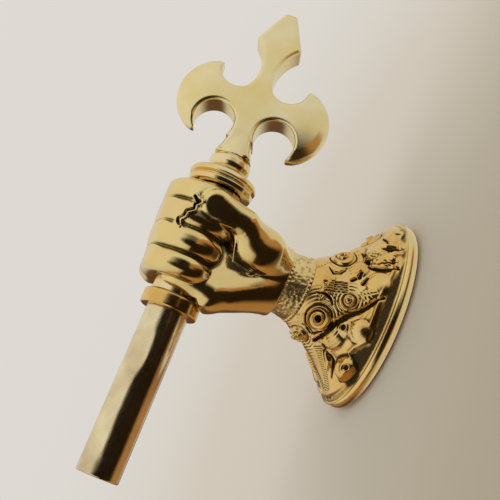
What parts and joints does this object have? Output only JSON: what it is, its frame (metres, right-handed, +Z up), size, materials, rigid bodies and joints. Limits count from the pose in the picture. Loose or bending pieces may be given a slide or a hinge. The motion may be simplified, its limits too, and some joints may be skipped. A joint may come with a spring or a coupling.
{
  "type": "watch winding key",
  "caption": "Figural fob key: a hand on a chased cuff and oval seal base grips a double axe whose shaft turns in the fist and ends in a winding pipe with a square socket.",
  "frame": {"origin": "centre of the flat seal face that the key stands on", "axes": "+Z up the forearm from the seal face, +X along the shaft from the pipe to the axe, palm towards -Y"},
  "size_m": [0.0389, 0.0114, 0.0217],
  "materials": {
    "polished_gold": "polished",
    "axe_gold": "polished, softly worn",
    "hand_gold": "polished, dark in the creases",
    "matted_gold": "matted with a punch",
    "chased_gold": "chased, dark in the recesses",
    "core_steel": "dull",
    "filling": "rough",
    "seal_stone": "polished"
  },
  "bodies": {
    "hand": {"hand_palm": "hand_gold", "hand_back": "hand_gold", "hand_filling": "filling", "spindle_bush": "polished_gold", "wrist_peg": "polished_gold", "wrist_band": "matted_gold", "cuff": "chased_gold", "cuff_plate": "polished_gold", "seal_bezel": "polished_gold", "seal_stone": "seal_stone"},
    "shaft": {"axe_front": "axe_gold", "axe_back": "axe_gold", "axe_ferrule": "polished_gold", "upper_collar": "polished_gold", "spindle": "polished_gold", "lower_collar": "polished_gold", "pipe_case": "polished_gold", "pipe_core": "core_steel"}
  },
  "joints": [
    {"name": "shaft_spin", "type": "hinge", "parent": "hand", "child": "shaft", "pos_m": [-0.0006, 0, 0.0156], "axis": [1, 0, 0], "continuous": true}
  ]
}
